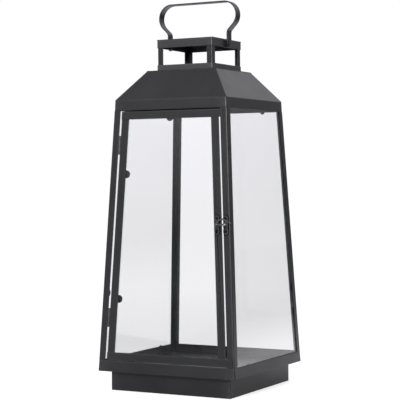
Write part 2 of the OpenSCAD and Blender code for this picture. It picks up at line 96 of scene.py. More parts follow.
families = {"SHADER": "ShaderNode", "GEOMETRY": "GeometryNode"}


# Adds a node, of the tree's own family unless its kind names one, and gives back one of its outputs
def step(tree, kind, inputs=None, give=0, **settings):
    node = tree.nodes.new(kind if "Node" in kind else families[tree.type] + kind)
    for name, value in settings.items():
        setattr(node, name, value)
    feed(tree, node, inputs or {})
    return node.outputs[give] if len(node.outputs) else None


def calc(tree, operation, first, second=0.0, clamp=False):
    return step(tree, "ShaderNodeMath", {0: first, 1: second}, operation=operation, use_clamp=clamp)


def times(tree, first, second, clamp=False):
    return calc(tree, "MULTIPLY", first, second, clamp)


def vectorCalc(tree, operation, first, second=(0.0, 0.0, 0.0), give=0):
    return step(tree, "ShaderNodeVectorMath", {0: first, 1: second}, give, operation=operation)


def scaled(tree, arrow, amount):
    return step(tree, "ShaderNodeVectorMath", {0: arrow, "Scale": amount}, operation="SCALE")


def remap(tree, value, fromLow, fromHigh, toLow=0.0, toHigh=1.0):
    return step(tree, "ShaderNodeMapRange", {
        "Value": value, "From Min": fromLow, "From Max": fromHigh, "To Min": toLow, "To Max": toHigh})


def joinVector(tree, x=0.0, y=0.0, z=0.0):
    return step(tree, "ShaderNodeCombineXYZ", {0: x, 1: y, 2: z})


def splitVector(tree, arrow):
    return step(tree, "ShaderNodeSeparateXYZ", {0: arrow}).node.outputs


def noise(tree, place, scale, detail, roughness):
    return step(tree, "TexNoise", {
        "Vector": place, "Scale": scale, "Detail": detail, "Roughness": roughness}, give="Fac")


def mixColour(tree, share, first, second):
    return step(tree, "Mix", {0: share, 6: first, 7: second}, give=2, data_type="RGBA")


def addSocket(tree, label, kind, way="INPUT"):
    return tree.interface.new_socket(label, in_out=way, socket_type="NodeSocket" + kind)


# Named inputs of a tree; a row of three numbers is a vector, and of four a colour
def addInputs(tree, sizes):
    kinds = {float: "Float", int: "Int", bool: "Bool"}
    for label, value in sizes.items():
        kind = kinds.get(type(value)) or {3: "Vector", 4: "Color"}[len(value)]
        addSocket(tree, label, kind).default_value = value


def newGroup(name, sizes, results):
    tree = bpy.data.node_groups.new(name, "ShaderNodeTree")
    addInputs(tree, dict({"Vector": (0.0, 0.0, 0.0)}, **sizes))
    for label in results:
        addSocket(tree, label, "Color" if label == "Colour" else "Float", "OUTPUT")
    return tree, tree.nodes.new("NodeGroupInput").outputs


def endGroup(tree, results):
    step(tree, "NodeGroupOutput", results)
    return tree


def useGroup(tree, group, inputs):
    return step(tree, "Group", inputs, node_tree=group).node.outputs


grainLook = {
    "cloud": (4.0, 0.55),  # detail and roughness of each noise
    "streak": (3.0, 0.6),
    "peel": (2.0, 0.45),
    "streakStretch": (160, 160, 9),  # fine across the sheet and long down it
    "cloudSpan": (0.35, 0.7),
    "cloudShare": 0.6,
    "streakShare": 0.4,
    "peelGloss": 0.4,
    "glossSpan": (0.3, 0.7),
    "cloudHeight": 3.0,
}


# Powder coat: fine orange peel, soft clouding and faint streaks down the sheet
def buildCoatGrain(look):
    tree, start = newGroup("coatGrain", {
        "Colour": (0.02, 0.02, 0.022, 1), "Pale": (0.04, 0.04, 0.043, 1), "Peel Scale": 900.0,
        "Cloud Scale": 14.0, "Roughness Low": 0.36, "Roughness High": 0.5}, ("Colour", "Roughness", "Height"))
    place = start["Vector"]
    cloud = noise(tree, place, start["Cloud Scale"], *look["cloud"])
    stretched = step(tree, "Mapping", {"Vector": place, "Scale": look["streakStretch"]})
    streak = noise(tree, stretched, 1.0, *look["streak"])
    peel = noise(tree, place, start["Peel Scale"], *look["peel"])
    blotch = times(tree, remap(tree, cloud, *look["cloudSpan"]), look["cloudShare"])
    tone = calc(tree, "ADD", blotch, times(tree, streak, look["streakShare"]), True)
    gloss = calc(tree, "ADD", times(tree, cloud, look["cloudShare"]),
                 times(tree, peel, look["peelGloss"]), True)
    return endGroup(tree, {
        "Colour": mixColour(tree, tone, start["Colour"], start["Pale"]),
        "Roughness": remap(tree, gloss, *look["glossSpan"], start["Roughness Low"], start["Roughness High"]),
        "Height": calc(tree, "ADD", peel, times(tree, cloud, look["cloudHeight"])),
    })


wearLook = {
    "patch": (3.0, 0.6),
    "chip": (2.0, 0.5),
    "patchSpan": (0.38, 0.66),
    "chipSpan": (0.35, 0.6, 0.35, 1),
    "rubAndSheenSpan": (0.3, 0.7, 0.5, 1),
    "closeness": 3.0,  # how tightly the wear keeps to the edge
}


# Rubbed edges with a painted highlight along the rims: the edge attribute, broken up so that the wear comes and goes
def buildEdgeWearAndSheen(look):
    tree, start = newGroup("edgeWearAndSheen", {
        "Edge": 0.0, "Amount": 0.5, "Patch Scale": 60.0, "Chip Scale": 500.0}, ("Wear", "Rub And Rim Sheen"))
    patch = noise(tree, start["Vector"], start["Patch Scale"], *look["patch"])
    chip = noise(tree, start["Vector"], start["Chip Scale"], *look["chip"])
    broken = times(tree, remap(tree, patch, *look["patchSpan"]), remap(tree, chip, *look["chipSpan"]), True)
    close = calc(tree, "POWER", start["Edge"], look["closeness"], True)
    wear = times(tree, times(tree, close, broken), start["Amount"], True)
    rubAndRimSheen = times(tree, start["Edge"], start["Amount"], True)
    rubAndRimSheen = times(tree, rubAndRimSheen, remap(tree, patch, *look["rubAndSheenSpan"]), True)
    return endGroup(tree, {"Wear": wear, "Rub And Rim Sheen": rubAndRimSheen})


dustLook = {
    "drift": (22.0, 4.0, 0.6),  # scale, detail and roughness
    "speck": (1.0, 0.5),
    "facingSpan": (0.25, 1.0),  # from steep faces to level ones
    "driftSpan": (0.3, 0.75, 0.2, 1),
    "speckSpan": (0.4, 0.65, 0.4, 1),
}


# Fine settled dust on whatever faces up
def buildSettledDust(look):
    tree, start = newGroup("settledDust", {"Up": 0.0, "Amount": 0.2, "Speck Scale": 1400.0}, ("Dust",))
    drift = noise(tree, start["Vector"], *look["drift"])
    speck = noise(tree, start["Vector"], start["Speck Scale"], *look["speck"])
    spread = times(tree, remap(tree, drift, *look["driftSpan"]), remap(tree, speck, *look["speckSpan"]))
    level = times(tree, remap(tree, start["Up"], *look["facingSpan"]), spread)
    return endGroup(tree, {"Dust": times(tree, level, start["Amount"], True)})


# Painted shade round a long plate, where it would cast its shadow: 1 beside its rim, 0 a little way off
def buildRimShade(fadeFrom=0.4):
    tree, start = newGroup("rimShade", {
        "Middle": (0.0, 0.0, 0.0), "Along": (0.0, 0.0, 1.0), "Half Length": 0.01, "Radius": 0.004, "Spread": 0.002},
        ("Shade",))
    offset = vectorCalc(tree, "SUBTRACT", start["Vector"], start["Middle"])
    run = vectorCalc(tree, "DOT_PRODUCT", offset, start["Along"], give=1)
    limit = start["Half Length"]
    held = calc(tree, "MAXIMUM", calc(tree, "MINIMUM", run, limit), times(tree, limit, -1))
    gap = vectorCalc(tree, "DISTANCE", offset, scaled(tree, start["Along"], held), give=1)
    share = calc(tree, "DIVIDE", calc(tree, "SUBTRACT", gap, start["Radius"]), start["Spread"])
    return endGroup(tree, {"Shade": remap(tree, share, fadeFrom, 1, 1, 0)})


coatGrain = buildCoatGrain(grainLook)
rimShade = buildRimShade()
edgeWearAndSheen = buildEdgeWearAndSheen(wearLook)
settledDust = buildSettledDust(dustLook)

coatFinish = {
    "colour": (0.0075, 0.0075, 0.009, 1),
    "pale": (0.016, 0.016, 0.019, 1),
    "wornAndRimSheen": (0.11, 0.11, 0.116, 1),
    "dustColour": (0.22, 0.21, 0.20, 1),
    "roughness": (0.30, 0.42),
    "peelScale": 900.0,
    "cloudScale": 14.0,
    "bump": 0.06,
    "bumpMm": 0.4,
    "wear": 0.30,  # bare chips on the edges
    "rubAndRimSheen": 0.45,  # softer rubbing beside them, which is also a painted highlight along the rims
    "dust": 0.06,
    "dustRoughness": 0.6,
    "metal": 0.0,
    "ior": 1.5,
}
strapFinish = dict(coatFinish, pale=(0.016, 0.016, 0.018, 1), wear=0.4, rubAndRimSheen=0.2)
# Paler copies of the coat for the chimney band and its collar: painted light, so that they read brighter lit
paintedLightNeckFinish = dict(coatFinish, colour=(0.023, 0.023, 0.0245, 1), pale=(0.036, 0.036, 0.039, 1))
paintedLightCollarFinish = dict(coatFinish, colour=(0.036, 0.036, 0.036, 1), pale=(0.052, 0.052, 0.052, 1))
# Fittings: their much lighter rubbed rims are partly a painted highlight
fittingFinish = dict(
    coatFinish,
    colour=(0.014, 0.014, 0.015, 1),
    pale=(0.026, 0.026, 0.027, 1),
    wornAndRimSheen=(0.17, 0.17, 0.17, 1),
    roughness=(0.24, 0.4),
    peelScale=1500.0,
    cloudScale=90.0,
    bump=0.05,
    wear=0.6,
    rubAndRimSheen=0.6,
)
# Near black screws and hinge pins, darker than the other fittings: painted shade for the screw holes and the gaps
# between the hinge knuckles
screwFinish = dict(
    fittingFinish,
    colour=(0.001, 0.001, 0.001, 1),
    pale=(0.003, 0.003, 0.003, 1),
    wornAndRimSheen=(0.02, 0.02, 0.02, 1),
    roughness=(0.5, 0.65),
    ior=1.25,
)
hookFinish = dict(
    fittingFinish,
    colour=(0.075, 0.075, 0.078, 1),
    pale=(0.13, 0.13, 0.133, 1),
    wornAndRimSheen=(0.38, 0.38, 0.38, 1),
    roughness=(0.18, 0.3),
    metal=1.0,
)
pegFinish = dict(
    hookFinish,
    colour=(0.38, 0.38, 0.385, 1),
    pale=(0.5, 0.5, 0.5, 1),
    wornAndRimSheen=(0.7, 0.7, 0.7, 1),
)


def newMaterial(name):
    material = bpy.data.materials.new(name)
    material.use_nodes = True
    tree = material.node_tree
    place = step(tree, "TexCoord", give="Object")
    edge = step(tree, "Attribute", give="Fac", attribute_name="edge")
    return material, tree, place, edge


def feedSurface(tree, inputs):
    surface = tree.nodes["Principled BSDF"]
    feed(tree, surface, inputs)
    tree.nodes["Material Output"].location = (surface.location.x + 300, surface.location.y)


def paintedMetal(name, finish):
    material, tree, place, edge = newMaterial(name)
    up = splitVector(tree, step(tree, "NewGeometry", give="Normal"))["Z"]
    grain = useGroup(tree, coatGrain, {
        "Vector": place, "Colour": finish["colour"], "Pale": finish["pale"],
        "Peel Scale": finish["peelScale"], "Cloud Scale": finish["cloudScale"],
        "Roughness Low": finish["roughness"][0], "Roughness High": finish["roughness"][1]})
    worn = useGroup(tree, edgeWearAndSheen, {"Vector": place, "Edge": edge, "Amount": finish["wear"]})
    dust = useGroup(tree, settledDust, {"Vector": place, "Up": up, "Amount": finish["dust"]})["Dust"]
    # The rubbing lightens the rims partly as wear and partly as a painted highlight
    wornAndRimSheen = calc(tree, "MAXIMUM", worn["Wear"], times(tree, worn["Rub And Rim Sheen"], finish["rubAndRimSheen"]))
    colour = mixColour(tree, wornAndRimSheen, grain["Colour"], finish["wornAndRimSheen"])
    dusted = times(tree, dust, finish["dustRoughness"])
    feedSurface(tree, {
        "Base Color": mixColour(tree, dust, colour, finish["dustColour"]),
        "Roughness": calc(tree, "ADD", grain["Roughness"], dusted, True),
        "Normal": step(tree, "Bump", {
            "Strength": finish["bump"], "Distance": finish["bumpMm"] * mm, "Height": grain["Height"]}),
        "Metallic": finish["metal"],
        "IOR": finish["ior"],
    })
    return material


filmLook = {
    "smear": (9.0, 5.0, 0.55),  # scale, detail and roughness
    "fine": (240.0, 2.0, 0.5),
    "wave": (5.0, 1.0, 0.4),
    "smearSpan": (0.45, 0.8, 0, 0.5),
    "fineSpan": (0.3, 0.7, 0.3, 1),
    "dustPower": 2.0,  # how tightly dust and tint keep to the border
    "tintPower": 2.5,
}


# Clear pane with fingered, dusty borders
def buildPaneFilm(look):
    tree, start = newGroup("paneFilm", {
        "Edge": 0.0, "Clear": (1, 1, 1, 1), "Film": (0.9, 0.9, 0.9, 1), "Border": (0.6, 0.95, 0.95, 1), "Haze": 0.05},
        ("Colour", "Roughness", "Height"))
    smear, fine, wave = (noise(tree, start["Vector"], *look[name]) for name in ("smear", "fine", "wave"))
    border = calc(tree, "POWER", start["Edge"], look["dustPower"], True)
    dusty = times(tree, border, remap(tree, fine, *look["fineSpan"]))
    film = calc(tree, "ADD", remap(tree, smear, *look["smearSpan"]), dusty, True)
    rim = calc(tree, "POWER", start["Edge"], look["tintPower"], True)
    colour = mixColour(tree, film, start["Clear"], start["Film"])
    return endGroup(tree, {
        "Colour": mixColour(tree, rim, colour, start["Border"]),
        "Roughness": times(tree, film, start["Haze"]),
        "Height": wave,
    })


paneFilm = buildPaneFilm(filmLook)
glassFinish = {
    "clear": (0.976, 0.980, 0.976, 1),
    "film": (0.962, 0.962, 0.962, 1),
    "border": (0.20, 0.62, 0.66, 1),
    "haze": 0.03,
    "ior": 1.47,
    "wave": 0.02,
    "waveMm": 1.0,
}


def clearGlass(name, finish):
    material, tree, place, edge = newMaterial(name)
    film = useGroup(tree, paneFilm, {
        "Vector": place, "Edge": edge, "Clear": finish["clear"], "Film": finish["film"],
        "Border": finish["border"], "Haze": finish["haze"]})
    feedSurface(tree, {
        "Base Color": film["Colour"],
        "Roughness": film["Roughness"],
        "Normal": step(tree, "Bump", {
            "Strength": finish["wave"], "Distance": finish["waveMm"] * mm, "Height": film["Height"]}),
        "Metallic": 0,
        "Transmission Weight": 1,
        "IOR": finish["ior"],
    })
    return material


blackCoat = paintedMetal("blackPowderCoat", coatFinish)
strapCoat = paintedMetal("rubbedStrapCoat", strapFinish)
paintedLightNeckCoat = paintedMetal("neckCoatWithPaintedLight", paintedLightNeckFinish)
paintedLightCollarCoat = paintedMetal("collarCoatWithPaintedLight", paintedLightCollarFinish)
blackFitting = paintedMetal("blackIronFitting", fittingFinish)
darkScrew = paintedMetal("screwDarkWithPaintedShade", screwFinish)
darkHook = paintedMetal("blackenedHook", hookFinish)
wornPeg = paintedMetal("wornPeg", pegFinish)
paneGlass = clearGlass("clearPane", glassFinish)
print("materials built")


# Starts a tree that grows a piece from a seed mesh; sizes are its named inputs, in metres
def newRecipe(name, sizes):
    tree = bpy.data.node_groups.new(name, "GeometryNodeTree")
    tree.is_modifier = True
    addSocket(tree, "Seed", "Geometry")
    addInputs(tree, sizes)
    addSocket(tree, "Material", "Material")
    addSocket(tree, "Geometry", "Geometry", "OUTPUT")
    return tree, tree.nodes.new("NodeGroupInput").outputs


def endRecipe(tree, start, geometry):
    whole = step(tree, "RealizeInstances", {"Geometry": geometry})
    dressed = step(tree, "SetMaterial", {"Geometry": whole, "Material": start["Material"]})
    step(tree, "NodeGroupOutput", {0: dressed})
    return tree


def position(tree):
    return step(tree, "InputPosition")


def attribute(tree, name, kind="FLOAT"):
    return step(tree, "InputNamedAttribute", {"Name": name}, data_type=kind)


def markEdge(tree, geometry, value):
    return step(tree, "StoreNamedAttribute", {"Geometry": geometry, "Name": "edge", "Value": value},
                data_type="FLOAT", domain="POINT")


def lineOf(tree, mesh):
    return step(tree, "MeshToCurve", {"Mesh": mesh})


def rectangle(tree, width, height):
    return step(tree, "CurvePrimitiveQuadrilateral", {"Width": width, "Height": height})


def roundBends(tree, curve, steps, radius, limited=True):
    return step(tree, "FilletCurve", {
        "Curve": curve, "Count": steps, "Radius": radius, "Limit Radius": limited}, mode="POLY")


def sweep(tree, path, section, capped=False):
    return step(tree, "CurveToMesh", {"Curve": path, "Profile Curve": section, "Fill Caps": capped})


def turnTo(tree, angles):
    return step(tree, "FunctionNodeEulerToRotation", {0: angles})


# A path's long straight runs get extra points, so that wear can fade along them
def cutLongRuns(tree, curve, longestMm, cuts):
    here = position(tree)
    following = step(tree, "OffsetPointInCurve", {"Offset": 1}, give=1)
    ahead = step(tree, "FieldAtIndex", {0: here, 1: following}, data_type="FLOAT_VECTOR")
    isLong = calc(tree, "GREATER_THAN", vectorCalc(tree, "DISTANCE", here, ahead, give=1), longestMm * mm)
    return step(tree, "SubdivideCurve", {"Curve": curve, "Cuts": times(tree, isLong, cuts)})


# A seed's spots, and its line as a curve
def splitSeed(tree, seed):
    spots = step(tree, "SeparateGeometry", {
        "Geometry": seed, "Selection": calc(tree, "GREATER_THAN", attribute(tree, "spot"), 0.5)}, domain="POINT")
    return spots, lineOf(tree, spots.node.outputs[1])


def putOnSpots(tree, spots, part):
    return step(tree, "InstanceOnPoints", {
        "Points": step(tree, "MeshToPoints", {"Mesh": spots}), "Instance": part,
        "Rotation": attribute(tree, "turn", "QUATERNION")})


# Points, in millimetres, joined by edges, with a number on each point for every named attribute
def seedMesh(name, points, edges, numbers, turns=()):
    mesh = bpy.data.meshes.new(name)
    mesh.from_pydata([tuple(c * mm for c in point) for point in points], edges, [])
    layers = [(label, "FLOAT", values) for label, values in numbers.items()]
    if turns:
        layers.append(("turn", "QUATERNION", turns))
    for label, kind, values in layers:
        layer = mesh.attributes.new(label, kind, "POINT")
        for item, value in zip(layer.data, values):
            item.value = value
    return mesh


def chainEdges(count):
    return [(i, i + 1) for i in range(count - 1)]


# A closed outline, from rows of two places and the wear there
def outlineSeed(name, rows):
    count = len(rows)
    return seedMesh(name + "Section", [(x, y, 0) for x, y, worn in rows], [(i, (i + 1) % count) for i in range(count)],
                    {"edge": [worn for x, y, worn in rows]})


# A line, and a spot for each place that gets a copy of what is made from it
def spotSeed(name, line, places, **numbers):
    points = line + [tuple(place.translation) for place in places]
    marks = {"spot": [0.0] * len(line) + [1.0] * len(places)}
    marks.update({label: [value] * len(points) for label, value in numbers.items()})
    turns = [(1, 0, 0, 0)] * len(line) + [tuple(place.to_quaternion()) for place in places]
    return seedMesh(name + "Seed", points, chainEdges(len(line)), marks, turns)


meshCare = {
    "mergeMm": 0.002,
    "speckMm": 0.0001,
    "sharpDegrees": 50,
}


# Merges doubles, turns faces outwards, and shades it smooth but for its sharp edges and broad flats
def finishMesh(piece):
    work = bmesh.new()
    work.from_mesh(piece.data)
    bmesh.ops.remove_doubles(work, verts=work.verts, dist=meshCare["mergeMm"] * mm)
    bmesh.ops.dissolve_degenerate(work, dist=meshCare["speckMm"] * mm, edges=work.edges)
    bmesh.ops.recalc_face_normals(work, faces=work.faces)
    sharp = radians(meshCare["sharpDegrees"])
    for edge in work.edges:
        edge.smooth = len(edge.link_faces) == 2 and edge.calc_face_angle(0) < sharp
    for face in work.faces:
        face.smooth = True
    work.to_mesh(piece.data)
    work.free()
    weigh = piece.modifiers.new("weigh", "WEIGHTED_NORMAL")
    weigh.keep_sharp = True
    return bakeModifiers(piece)


def bakeModifiers(piece):
    depsgraph = bpy.context.evaluated_depsgraph_get()
    whole = piece.evaluated_get(depsgraph)
    baked = bpy.data.meshes.new_from_object(whole, preserve_all_data_layers=True, depsgraph=depsgraph)
    piece.modifiers.clear()
    piece.data = baked
    baked.name = piece.name
    return piece


# Runs a recipe on a seed and turns the result into a plain mesh
def runRecipe(name, tree, seed, settings, material):
    piece = addObject(name, seed)
    modifier = piece.modifiers.new("grow", "NODES")
    modifier.node_group = tree
    settings = dict(settings, Material=material)
    for socket in tree.interface.items_tree:
        if socket.in_out == "INPUT" and socket.name in settings:
            modifier[socket.identifier] = settings[socket.name]
    return bakeModifiers(piece)


replaced = set()


# Finishes a piece, without the empty slots that instances leave, and has it stand for its solids
def dressPiece(piece, material, body, covers):
    for face in piece.data.polygons:
        face.material_index = 0
    piece.data.materials.clear()
    piece.data.materials.append(material)
    finishMesh(piece)
    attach(piece, body)
    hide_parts(*covers)
    replaced.update(covers)


# The solids' own levels and widths, in millimetres
lantern = {
    "footWidth": 242.4,
    "headWidth": 202.0,
    "bandFlare": 1.5,
    "plinthInset": 14.2,
    "plinthTop": 32.0,
    "bandLow": 31.6,
    "footLevel": 49.0,
    "headLevel": 445.7,
    "eavesLevel": 462.0,
    "eavesWidth": 200.34,
    "crownLevel": 510.2,
    "collarTop": 519.7,
    "ventTop": 547.0,
    "capLevel": 560.4,
    "chimneyWidth": 101.2,
    "sheet": 1.0,
}
sides = ("front", "right", "back", "left")
corners = ("front_left", "front_right", "back_right", "back_left")
footHalf = lantern["footWidth"] / 2
plinthHalf = footHalf - lantern["plinthInset"]
chimneyHalf = lantern["chimneyWidth"] / 2
capUnder = lantern["capLevel"] - lantern["sheet"]
leanRate = (lantern["footWidth"] - lantern["headWidth"]) / 2 / (lantern["headLevel"] - lantern["footLevel"])
lean = atan(leanRate)

# Square rings of folded strip: plinth, base band, fascia, collar and chimney band
ringLook = {
    "foldRadius": 1.3,  # inside radius of the corner folds
    "foldSteps": 7,
    "easeMm": 0.3,  # rounding of the strips' rims
    "wornAndSheenRim": 1.6,  # how far in from a rim or a fold the rubbing and its painted highlight reach
    "longRun": 8.0,
    "runCuts": 11,
}


def buildFoldedRing():
    tree, start = newRecipe("foldedRing", {
        "Half Width": 0.1, "Fold Radius": 0.0013, "Fold Steps": 7, "Worn And Sheen Reach": 0.002})
    across = times(tree, start["Half Width"], 2)
    folded = roundBends(tree, rectangle(tree, across, across), start["Fold Steps"], start["Fold Radius"])
    path = cutLongRuns(tree, folded, ringLook["longRun"], ringLook["runCuts"])
    swept = sweep(tree, path, lineOf(tree, start["Seed"]))
    spot = splitVector(tree, vectorCalc(tree, "ABSOLUTE", position(tree)))
    foldFrom = calc(tree, "SUBTRACT", start["Half Width"], start["Fold Radius"])
    wornFrom = calc(tree, "SUBTRACT", foldFrom, start["Worn And Sheen Reach"])
    fold = remap(tree, calc(tree, "MINIMUM", spot[0], spot[1]), wornFrom, foldFrom)
    worn = calc(tree, "MAXIMUM", attribute(tree, "edge"), fold)
    return endRecipe(tree, start, markEdge(tree, swept, worn))


# Section of a leaning strip: x outwards from the path, y down; 1 on its rims and 0 between them
def stripSection(lowOut, highOut, low, high, wall):
    ease, rim = ringLook["easeMm"], ringLook["wornAndSheenRim"]

    def out(z):
        return lowOut + (highOut - lowOut) * (z - low) / (high - low)
    rows = [(ease, low, 1), (0, low + ease, 1), (0, low + rim, 0),
            (0, high - rim, 0), (0, high - ease, 1), (ease, high, 1)]
    outer = [(out(z) - inset, -z, worn) for inset, z, worn in rows]
    return outer + [(out(z) - wall + inset, -z, worn) for inset, z, worn in reversed(rows)]


def makeRing(name, lowHalf, highHalf, low, high, covers, coat=blackCoat):
    wall = lantern["sheet"]
    path = min(lowHalf, highHalf) - wall
    seed = outlineSeed(name, stripSection(lowHalf - path, highHalf - path, low, high, wall))
    dressPiece(runRecipe(name, foldedRing, seed, {
        "Half Width": path * mm,
        "Fold Radius": ringLook["foldRadius"] * mm,
        "Fold Steps": ringLook["foldSteps"],
        "Worn And Sheen Reach": ringLook["wornAndSheenRim"] * mm,
    }, coat), coat, "frame", covers)


foldedRing = buildFoldedRing()
makeRing("plinthRing", plinthHalf, plinthHalf, 0, lantern["plinthTop"], ["plinth"])
makeRing("baseBandRing", footHalf + lantern["bandFlare"], footHalf, lantern["bandLow"], lantern["footLevel"],
         ["band_" + side for side in sides])
makeRing("fasciaRing", lantern["headWidth"] / 2, lantern["eavesWidth"] / 2, lantern["headLevel"],
         lantern["eavesLevel"], ["fascia_" + side for side in sides])
makeRing("collarRing", chimneyHalf, chimneyHalf, lantern["crownLevel"], lantern["collarTop"], ["chimney_collar"],
         paintedLightCollarCoat)
makeRing("chimneyBandRing", chimneyHalf, chimneyHalf, lantern["ventTop"], capUnder, ["chimney_band"], paintedLightNeckCoat)
print("folded rings grown")


# Corner posts of bent angle strip, on the body and under the chimney cap
postLook = {
    "leg": 12.0,
    "thick": 1.2,
    "bend": 2.0,  # outside radius of the bend
    "bendSteps": 8,
    "easeMm": 0.3,
    "wornAndSheenRim": 1.6,
    "innerWear": 0.6,
    "overrun": 20.0,  # left at both ends, to be cut level
}
chimneyPostLook = dict(postLook, leg=10.0, thick=1.0, bend=1.6, wornAndSheenRim=1.2, overrun=0.0)


def buildAnglePosts():
    tree, start = newRecipe("anglePosts", {
        "Count": 4, "Foot": (0.0, 0.0, 0.0), "Tilt": (0.0, 0.0, 0.0), "Length": 0.1, "Overrun": 0.0,
        "Low": 0.0, "High": 0.1})
    under = joinVector(tree, z=times(tree, start["Overrun"], -1))
    over = joinVector(tree, z=calc(tree, "ADD", start["Length"], start["Overrun"]))
    line = step(tree, "CurvePrimitiveLine", {"Start": under, "End": over})
    swept = sweep(tree, line, lineOf(tree, start["Seed"]), True)
    turn = turnTo(tree, start["Tilt"])
    stood = step(tree, "Transform", {
        "Geometry": swept, "Translation": start["Foot"], "Rotation": turn})
    # both ends slide along the post to where it is cut level
    axis = vectorCalc(tree, "NORMALIZE", (0.0, 0.0, 1.0))
    leaning = step(tree, "FunctionNodeRotateVector", {0: axis, 1: turn})
    height = splitVector(tree, position(tree))[2]
    level = step(tree, "ShaderNodeClamp", {"Value": height, "Min": start["Low"], "Max": start["High"]})
    slide = calc(tree, "DIVIDE", calc(tree, "SUBTRACT", level, height), splitVector(tree, leaning)[2])
    cut = step(tree, "SetPosition", {"Geometry": stood, "Offset": scaled(tree, leaning, slide)})
    spots = step(tree, "MeshLine", {"Count": start["Count"], "Offset": (0.0, 0.0, 0.0)})
    quarter = calc(tree, "DIVIDE", 2 * pi, start["Count"])
    heading = joinVector(tree, z=times(tree, step(tree, "InputIndex"), quarter))
    posts = step(tree, "InstanceOnPoints", {
        "Points": spots, "Instance": cut, "Rotation": turnTo(tree, heading)})
    return endRecipe(tree, start, posts)


# Section of an angle strip with its outer corner at the origin; 1 on its rims and its bend
def angleSection(look):
    leg, thick, bend, ease, rim = look["leg"], look["thick"], look["bend"], look["easeMm"], look["wornAndSheenRim"]

    def arc(radius, fromDegrees, turnDegrees, worn):
        turns = [radians(fromDegrees + turnDegrees * i / look["bendSteps"]) for i in range(look["bendSteps"] + 1)]
        return [(bend + radius * cos(turn), bend + radius * sin(turn), worn) for turn in turns]
    oneLeg = [(bend + rim, 0, 0), (leg - rim, 0, 0), (leg - ease, 0, 1), (leg, ease, 1),
              (leg, thick - ease, 1), (leg - ease, thick, 1), (leg - rim, thick, 0), (bend + rim, thick, 0)]
    otherLeg = [(y, x, worn) for x, y, worn in reversed(oneLeg)]
    inner, outer = arc(bend - thick, 270, -90, look["innerWear"]), arc(bend, 180, 90, 1)
    return oneLeg[2:] + inner + otherLeg + outer + oneLeg[:2]


def makePosts(name, look, half, low, high, tilt, covers):
    dressPiece(runRecipe(name, anglePosts, outlineSeed(name, angleSection(look)), {
        "Foot": (-half * mm, -half * mm, low * mm),
        "Tilt": tilt,
        "Length": (high - low) * mm,
        "Overrun": look["overrun"] * mm,
        "Low": low * mm,
        "High": high * mm,
    }, blackCoat), blackCoat, "frame", [covers + corner for corner in corners])


anglePosts = buildAnglePosts()
makePosts("cornerPosts", postLook, footHalf, lantern["footLevel"], lantern["headLevel"],
          (-atan(sin(lean)), lean, 0.0), "post_")
makePosts("chimneyPosts", chimneyPostLook, chimneyHalf - lantern["sheet"], lantern["crownLevel"], capUnder,
          (0.0, 0.0, 0.0), "chimney_post_")
print("posts grown")


# Carrying strap: a flat strip bent along its path, round at both ends
strapLook = {
    "width": 14.5,
    "thick": 2.0,
    "pivotLevel": 553.4,
    "halfSpan": 54.1,  # from the middle to the strip's own middle at the rivets
    "kneeTurn": 20.287,  # where the straight legs turn outwards, above the rivets
    "kneeRadius": 8.0,
    "outerTurn": 101.413,  # where the flared legs' lines meet the top's line
    "topLine": 67.6,
    "topRadius": 22.0,
    "bendSteps": 20,
    "easeMm": 0.45,
    "easeSteps": 3,
    "wornAndSheenRim": 2.0,
    "longRun": 6.0,  # along the strap
    "runCuts": 5,
    "longSide": 8.0,  # across it
    "sideCuts": 9,
    "endDegrees": (0, 12, 24, 38, 52, 66, 78, 90),
    "endFull": 0.9995,  # how near to its tip the half round is drawn
}


def buildStrapPath(look):
    tree, start = newRecipe("strapPath", {
        "Width": 0.0145, "Thickness": 0.002, "Bend Steps": 20, "Edge Round": 0.0005, "Worn And Sheen Reach": 0.002,
        "Pivot Level": 0.55})
    bent = roundBends(tree, lineOf(tree, start["Seed"]), start["Bend Steps"], attribute(tree, "bend"), False)
    path = cutLongRuns(tree, bent, look["longRun"], look["runCuts"])
    strip = rectangle(tree, start["Thickness"], start["Width"])
    eased = roundBends(tree, strip, look["easeSteps"], start["Edge Round"])
    swept = sweep(tree, path, cutLongRuns(tree, eased, look["longSide"], look["sideCuts"]), True)
    # below the rivets the strip narrows to a half round
    spot = splitVector(tree, position(tree))
    across, height = spot[1], spot[2]
    half = times(tree, start["Width"], 0.5)
    below = calc(tree, "DIVIDE", calc(tree, "SUBTRACT", start["Pivot Level"], height), half)
    below = step(tree, "ShaderNodeClamp", {"Value": below, "Min": 0.0, "Max": look["endFull"]})
    narrow = calc(tree, "SQRT", calc(tree, "SUBTRACT", 1.0, times(tree, below, below)))
    shift = joinVector(tree, y=times(tree, across, calc(tree, "SUBTRACT", narrow, 1.0)))
    wornFrom = calc(tree, "SUBTRACT", half, start["Worn And Sheen Reach"])
    worn = remap(tree, calc(tree, "ABSOLUTE", across), wornFrom, half)
    marked = markEdge(tree, swept, worn)
    return endRecipe(tree, start, step(tree, "SetPosition", {"Geometry": marked, "Offset": shift}))


def makeStrap(look):
    radius = look["width"] / 2
    right = [(look["halfSpan"], -radius * cos(radians(angle)), 0.0) for angle in look["endDegrees"]]
    right += [(look["halfSpan"], look["kneeTurn"], look["kneeRadius"]),
              (look["outerTurn"], look["topLine"], look["topRadius"])]
    line = right + [(-x, z, bend) for x, z, bend in reversed(right)]
    seed = seedMesh("strapLine", [(x, 0, look["pivotLevel"] + z) for x, z, bend in line], chainEdges(len(line)),
                    {"bend": [bend * mm for x, z, bend in line]})
    dressPiece(runRecipe("carryingStrap", buildStrapPath(look), seed, {
        "Width": look["width"] * mm,
        "Thickness": look["thick"] * mm,
        "Bend Steps": look["bendSteps"],
        "Edge Round": look["easeMm"] * mm,
        "Worn And Sheen Reach": look["wornAndSheenRim"] * mm,
        "Pivot Level": look["pivotLevel"] * mm,
    }, strapCoat), strapCoat, "handle", ["handle_strap"])


makeStrap(strapLook)
print("strap bent")


